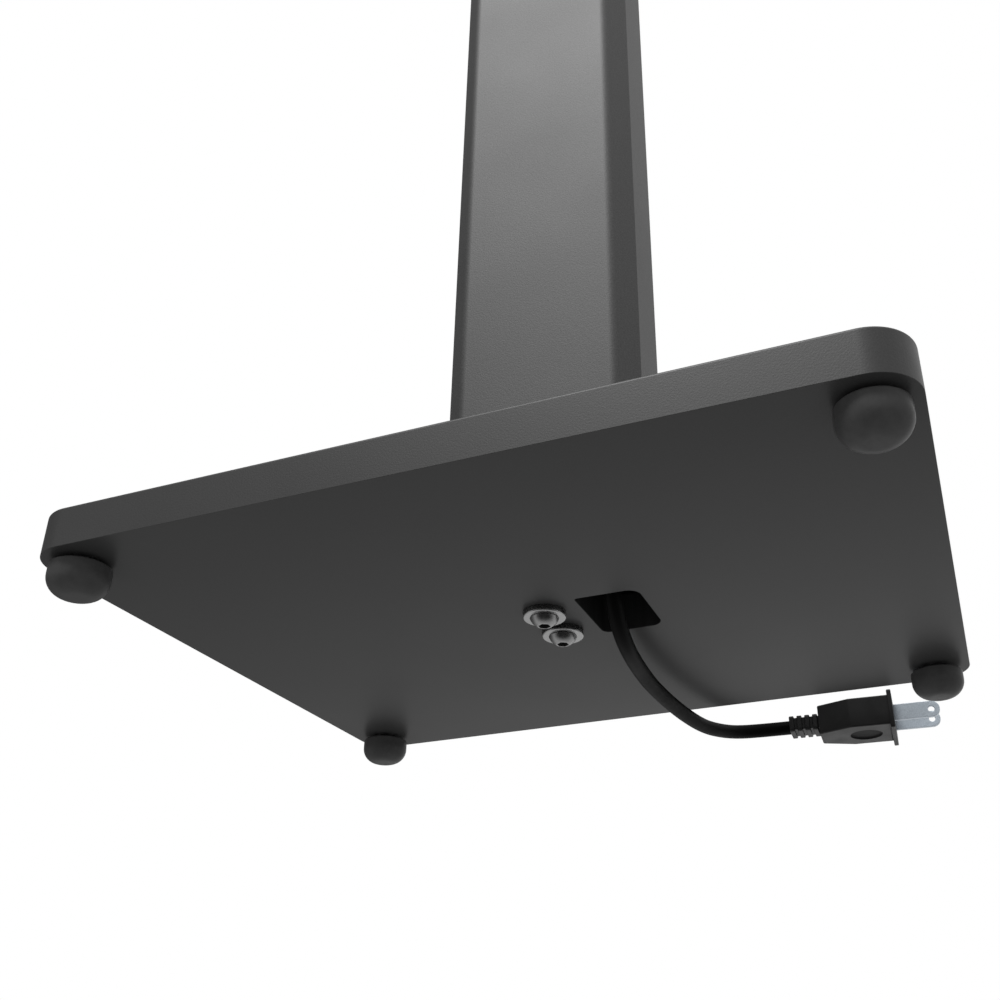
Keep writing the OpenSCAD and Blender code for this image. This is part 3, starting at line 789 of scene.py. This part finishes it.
screw = {
    "spacing": 16.5 * mm, "shaft": 5 * mm, "grip": 18 * mm, "shaftTip": 0.5 * mm,
    "head": 9.5 * mm, "headHeight": 2.7 * mm, "domeOver": 0.5 * mm, "domeSteps": 16,
    "socket": 3 * mm, "socketDepth": 1.6 * mm, "socketLead": 0.22 * mm,
    "socketCorner": 0.12 * mm, "edge": 0.1 * mm, "nearRound": 0.995,
    "washer": 14 * mm, "washerThickness": 2.1 * mm, "washerHole": 5.5 * mm,
    "washerEdge": 0.5 * mm,
}
baseLow, baseHigh = levels("base_plate")
screwCentres = [(0, side * screw["spacing"] / 2) for side in (-1, 1)]


def sixSided(radius, roundness):
    # Loops of six arcs: a hexagon of that inner radius, or a circle where roundness reaches it
    turn = (np.arange(6) + 0.5) * pi / 3
    way = np.stack([np.cos(turn), np.sin(turn)], axis=-1)
    corners = (radius / cos(pi / 6))[:, None, None] * way
    return filletLoop(corners, roundness[:, None] * np.ones(6), steps=10)


def makeScrew(look, centre):
    # Loops about the axis, from the socket's floor out over the dome and up the shaft
    seat = baseLow - look["washerThickness"]
    edge, lead, top = look["edge"], look["socketLead"], look["headHeight"]
    half, socket, shaft = look["head"] / 2, look["socket"] / 2, look["shaft"] / 2
    full = top + look["domeOver"]
    domeRadius = (half ** 2 + full ** 2) / (2 * full)
    flat = np.sqrt(domeRadius ** 2 - (domeRadius - look["domeOver"]) ** 2)
    lean = np.linspace(np.arcsin(flat / domeRadius), np.arcsin(half / domeRadius),
                       look["domeSteps"])
    dome = [domeRadius * np.sin(lean), full - domeRadius + domeRadius * np.cos(lean)]
    floor = top - look["socketDepth"]
    end = -look["washerThickness"] - (baseHigh - baseLow) - look["grip"]
    inner = [[socket - edge, floor], [socket, floor + edge], [socket, top - lead],
             [socket + lead, top], [flat - edge, top]]
    tip = look["shaftTip"]
    rest = [[shaft, 0], [shaft, end + tip], [shaft - tip, end]]
    profile = np.array(inner + np.stack(dome, axis=-1).tolist() + rest)
    radius, height = profile[:, 0], profile[:, 1]
    # The socket's floor and walls take the painted shade material: a dark tone where the recess is
    # in shade
    socketLoops = 4        # the first loops; the socket's floor and walls are bare and dark
    hexagonal = np.arange(len(profile)) < socketLoops
    loops = sixSided(radius, np.where(hexagonal, look["socketCorner"], radius * look["nearRound"]))
    up = (seat - height)[:, None, None] + 0 * loops[..., :1]
    points = np.concatenate([loops + centre, up], axis=-1)
    kinds = np.zeros(len(points) + 1, int)
    kinds[:socketLoops] = 1
    return gridMesh("screw", capped(points), kinds=kinds)


def makeWasher(look, centre):
    # Lathe ring with rounded rims, those of its hole a third as round
    low, high = baseLow - look["washerThickness"], baseLow
    outer, inner, edge = look["washer"] / 2, look["washerHole"] / 2, look["washerEdge"]
    corners = [[outer, low], [outer, high], [inner, high], [inner, low]]
    profile = filletLoop(corners, [edge, edge / 3, edge / 3, edge], steps=6, flats=2)
    return gridMesh("washer", turned(profile, centre), ring=True)


place(joined("base_screws_visual", [makeScrew(screw, centre) for centre in screwCentres]),
      "base_screws", [headSteel, paintedRecessShade])
place(joined("base_washers_visual", [makeWasher(screw, centre) for centre in screwCentres]),
      "base_washers", [zinc])
print("screws made")


# Base plate, column, top plate and mat: outlines carried upwards, with their holes

plate = {
    "width": 250 * mm, "depth": 205 * mm, "corner": 12.5 * mm,
    "lowEdge": 0.12 * mm, "highEdge": 1.0 * mm, "holeEdge": 0.25 * mm,
    "screwHole": 5.5 * mm, "studHole": 8.1 * mm, "studHoleDepth": 11.5 * mm,
}
cableHole = {
    "at": (22.8 * mm, 0), "width": 20.4 * mm, "length": 29 * mm,
    "corners": np.array([4, 4, 2.5, 1]) * mm,
}


def cableWall(grow, profile, **more):
    # Wall of the cable hole, wider by grow all round
    outline = roundedBox(cableHole["width"] + 2 * grow, cableHole["length"] + 2 * grow,
                         cableHole["corners"] + grow, cableHole["at"])
    return {"outline": outline, "hole": True, "profile": profile, **more}


def makeBasePlate(look):
    low, high, edge = baseLow, baseHigh, look["holeEdge"]
    through = throughProfile(low, high, edge, edge)
    blind = blindProfile(low, low + look["studHoleDepth"], edge, edge, look["studHole"] / 2)
    # The cable hole's walls take painted shade, and the underside the coat whose lighter tone is
    # painted light
    walls = [slabWall(look, low, high, steps=32), cableWall(0, through, kind=2)]
    walls += roundHoles(look["screwHole"], screwCentres, through)
    walls += roundHoles(look["studHole"], footCentres, blind, opens="low")
    return carved("base_plate_visual", walls, lowKind=1)


place(makeBasePlate(plate), "base_plate", [baseCoat, undersideCoatWithPaintedLight, paintedRecessShade])

column = {
    "width": 73 * mm, "depth": 36.5 * mm, "wall": 2.5 * mm, "web": 2.5 * mm,
    "chamfer": 7.5 * mm, "blend": 5 * mm, "arris": 0.5 * mm, "endEdge": 0.2 * mm,
    "innerArris": 0.4 * mm, "screwBore": 5.1 * mm, "screwChannel": 9.9 * mm,
}


def columnCorners(look, inset):
    # Eight corners of the chamfered outline, drawn in by inset, and their radii
    x, y = look["width"] / 2 - inset, look["depth"] / 2 - inset
    cut = look["chamfer"] - inset * (2 - 2 ** 0.5)
    quarter = np.array([[x - cut, -y], [x, cut - y]])
    half = np.concatenate([quarter, quarter[::-1] * [1, -1]])
    arris = look["innerArris"] if inset else look["arris"]
    radii = [look["blend"] - inset, arris, arris, look["blend"] - inset]
    return np.concatenate([half, -half]), np.array(radii * 2)


def channelOutline(look, side, steps=24):
    # One channel: half the inner outline, closed by the web and the screw channels' round backs
    corners, radii = columnCorners(look, look["wall"])
    web, y = look["web"] / 2, look["depth"] / 2 - look["wall"]
    corners = np.concatenate([[[web, -y]], corners[:4], [[web, y]]])
    radii = np.concatenate([[look["innerArris"]], radii[:4], [look["innerArris"]]])
    back = look["screwChannel"] / 2
    reach = np.arccos(web / back)
    turn = np.linspace(reach, -reach, steps)
    bump = back * np.stack([np.cos(turn), np.sin(turn)], axis=-1)
    middle = [0, screw["spacing"] / 2]
    inner = filletLoop(corners, radii, steps=8)
    loop = np.concatenate([inner, bump + middle, bump - middle])
    return loop if side > 0 else loop[::-1] * [-1, 1]


def makeColumn(look):
    corners, radii = columnCorners(look, 0)
    ends = throughProfile(*levels("column"), look["endEdge"], look["endEdge"])
    walls = [{"outline": filletLoop(corners, radii, steps=16), "profile": ends}]
    # The channels and screw bores inside the column take painted shade
    walls += [{"outline": channelOutline(look, side), "hole": True, "profile": ends, "kind": 1}
              for side in (-1, 1)]
    walls += roundHoles(look["screwBore"], screwCentres, ends, steps=48, kind=1)
    return carved("column_visual", walls)


place(makeColumn(column), "column", [columnCoat, paintedRecessShade])

topPlate = {
    "width": 160 * mm, "depth": 140 * mm, "corner": 12.5 * mm,
    "lowEdge": 0.12 * mm, "highEdge": 1.0 * mm, "holeEdge": 0.25 * mm,
    "screwHole": 5.5 * mm, "sinkDiameter": 10.5 * mm, "sinkDepth": 2.5 * mm,
    "sinkLand": 0.2 * mm, "sinkLead": 0.3 * mm, "sinkEdge": 0.1 * mm, "sinkFillet": 0.02 * mm,
    "boltHole": 5.5 * mm, "boltX": 120 * mm, "boltY": 100 * mm,
}
boltCentres = rectangle(topPlate["boltX"], topPlate["boltY"])


def makeTopPlate(look):
    low, high = levels("top_plate")
    edge = look["holeEdge"]
    through = throughProfile(low, high, edge, edge)
    out = (look["sinkDiameter"] - look["screwHole"]) / 2
    lip = high - look["sinkLand"]
    sink = filletPath(
        [[meshing["lead"] * edge, low], [0, low], [0, lip - look["sinkDepth"]], [out, lip],
         [out, high], [out + look["sinkLead"], high]],
        [0, edge, look["sinkEdge"], look["sinkFillet"], look["sinkEdge"], 0], steps=4)
    walls = [slabWall(look, low, high, steps=32), cableWall(0, through)]
    walls += roundHoles(look["screwHole"], screwCentres, sink)
    walls += roundHoles(look["boltHole"], boltCentres, through)
    # The low face takes the underside coat, whose lighter tone is painted light
    return carved("top_plate_visual", walls, lowKind=1)


place(makeTopPlate(topPlate), "top_plate", [baseCoat, undersideCoatWithPaintedLight])

mat = {
    "width": 150 * mm, "depth": 130 * mm, "corner": 7.5 * mm,
    "lowEdge": 0.2 * mm, "highEdge": 0.4 * mm, "windowEdge": 0.2 * mm,
    "cableMargin": 2.5 * mm, "screwWindow": 11 * mm, "boltWindow": 12 * mm,
}


def makeMat(look):
    low, high = levels("top_mat")
    window = throughProfile(low, high, look["windowEdge"], look["windowEdge"])
    walls = [slabWall(look, low, high, steps=24), cableWall(look["cableMargin"], window)]
    walls += roundHoles(look["screwWindow"], screwCentres, window)
    walls += roundHoles(look["boltWindow"], boltCentres, window)
    return carved("top_mat_visual", walls)


place(makeMat(mat), "top_mat", [matRubber])
print("plates and column made")


# Speaker end of the lead: grip and figure-of-eight nose

connector = {
    "gripWidth": 16.5 * mm, "gripDepth": 10 * mm, "gripHeight": 11 * mm, "gripEdge": 0.8 * mm,
    "noseWidth": 13.4 * mm, "noseDepth": 7.2 * mm, "noseHeight": 9 * mm, "noseEdge": 0.4 * mm,
    "noseRoot": 0.1 * mm, "into": 0.5 * mm,
    "contactSpacing": 6.2 * mm, "contactHole": 3.3 * mm, "contactHoleDepth": 8 * mm,
    "contactEdge": 0.1 * mm,
}


def makeConnector(look):
    # Two bars with round ends, carried upwards; the nose starts a little way inside the grip
    x, y = cableHole["at"]
    low = levels("connector_body")[0]
    shelf = low + look["gripHeight"]
    top = shelf + look["noseHeight"]
    across, away = look["contactHole"], look["contactSpacing"] / 2
    grip = {"outline": roundBar(look["gripWidth"], look["gripDepth"], (x, y)),
            "profile": throughProfile(low, shelf, look["gripEdge"], look["gripEdge"])}
    root = shelf - look["into"]
    nose = {"outline": roundBar(look["noseWidth"], look["noseDepth"], (x, y)),
            "profile": throughProfile(root, top, look["noseRoot"], look["noseEdge"])}
    sunk = blindProfile(top, top - look["contactHoleDepth"], look["contactEdge"],
                        look["contactEdge"], across / 2)
    holes = roundHoles(across, [(x - away, y), (x + away, y)], sunk, steps=32, opens="high")
    return joined("connector_body_visual", [carved("grip", [grip]), carved("nose", [nose] + holes)])


place(makeConnector(connector), "connector_body", [plugVinyl])
print("connector made")


# CAD nodes that keep their own mesh

kept = {
    "top_screws": blackSteel, "cable_grommet": matRubber, "connector_relief": plugVinyl,
    "connector_contacts": brass,
}
for name, material in kept.items():
    if not nodes[name].data.materials:
        nodes[name].data.materials.append(material)
    for slot in nodes[name].material_slots:
        slot.material = material
print("CAD nodes dressed")


# World, lamp and floor

# The key is high in front and a little to the left: its broad reflection fades down the column.
# One dark panel stands on the left and behind, where the column's left chamfer mirrors it, and
# one low in front, where the domes of the screws' heads do.
lights = {
    "world": 0.5, "keyLeft": 15, "keyHigh": 57, "keyAway": 2.0, "keySize": 0.8,
    "keyRadiance": 17.8,
    "panels": [
        {"way": (-0.83, 0.33, 0.45), "size": (1.183, 1.183, 1.183), "core": 0.214, "depth": 0.85},
        {"way": (0.3, -0.8, -0.55), "size": (1.3, 1.5, 0.75), "core": 0.25, "depth": 0.96},
    ],
}


def setWorld(look):
    # White to the camera, reflections and glass, dimmer as a light. Reflections also show dark
    # oval panels round the object: a panel covers where ((way seen - its way) / its size) squared
    # is under 1, and is at its darkest where that is under its core.
    world = bpy.data.worlds.new("studio")
    bpy.context.scene.world = world
    world.use_nodes = True
    sky = Wiring(world.node_tree)
    rays = sky.add("LightPath").outputs
    seen = sky.compute("Math", "MAXIMUM", rays["Is Camera Ray"], rays["Is Glossy Ray"])[0]
    seen = sky.compute("Math", "MAXIMUM", seen, rays["Is Transmission Ray"])[0]
    strength = sky.spread(seen, look["world"], 1, 0, 1)
    way = sky.add("TexCoord").outputs["Generated"]
    for panel in look["panels"]:
        centre = Vector(panel["way"]).normalized()
        away = sky.compute("VectorMath", "SUBTRACT", way, centre)["Vector"]
        scaled = sky.compute("VectorMath", "DIVIDE", away, panel["size"])["Vector"]
        squared = sky.compute("VectorMath", "DOT_PRODUCT", scaled, scaled)["Value"]
        cover = sky.spread(squared, panel["depth"], 0, panel["core"], 1, "SMOOTHSTEP")
        dark = sky.compute("Math", "MULTIPLY", cover, rays["Is Glossy Ray"])[0]
        strength = sky.compute("Math", "SUBTRACT", strength, dark, use_clamp=True)[0]
    background = sky.tree.nodes["Background"].inputs
    sky.feed(background["Color"], (1, 1, 1, 1))
    sky.feed(background["Strength"], strength)


def setKey(look):
    # A square lamp whose surface glows at the key's radiance, turned towards the origin
    size = look["keySize"]
    data = bpy.data.lights.new("key_softbox", "AREA")
    data.shape = "SQUARE"
    data.size = size
    data.energy = look["keyRadiance"] * pi * size * size
    left, high, away = radians(look["keyLeft"]), radians(look["keyHigh"]), look["keyAway"]
    flat = away * cos(high)
    lamp = bpy.data.objects.new("key_softbox", data)
    lamp.location = (-flat * sin(left), -flat * cos(left), away * sin(high))
    lamp.rotation_euler = (pi / 2 - high, 0, -left)
    bpy.context.collection.objects.link(lamp)


setWorld(lights)
setKey(lights)

floor = {"size": 6, "tone": 0.86, "rough": 0.8, "fadeFrom": 0.6, "fadeTo": 2.7}


def makeFloor(look):
    # Pale floor that fades out into the white round about. Only the camera sees it, and only from
    # above: the photo looks up from below the feet, where light comes from all round.
    mesh = bpy.data.meshes.new("floor")
    half = look["size"] / 2
    corners = [(-half, -half, 0), (half, -half, 0), (half, half, 0), (-half, half, 0)]
    mesh.from_pydata(corners, [], [(0, 1, 2, 3)])
    piece = bpy.data.objects.new("floor", mesh)
    bpy.context.collection.objects.link(piece)
    recipe = Recipe("floor")
    recipe.surface(colour=(look["tone"], look["tone"], look["tone"], 1), rough=look["rough"])
    rays = recipe.add("LightPath").outputs
    side = recipe.add("NewGeometry").outputs
    away = recipe.compute("VectorMath", "LENGTH", recipe.where)["Value"]
    near = recipe.spread(away, 1, 0, look["fadeFrom"], look["fadeTo"])
    front = recipe.compute("Math", "SUBTRACT", rays["Is Camera Ray"], side["Backfacing"])[0]
    shown = recipe.compute("Math", "MULTIPLY", front, near, use_clamp=True)[0]
    clear = recipe.add("BsdfTransparent").outputs[0]
    blend = recipe.add("MixShader", {0: shown, 1: clear, 2: recipe.shader.outputs[0]})
    recipe.feed(recipe.tree.nodes["Material Output"].inputs["Surface"], blend.outputs[0])
    mesh.materials.append(recipe.material)


makeFloor(floor)
print("studio set")
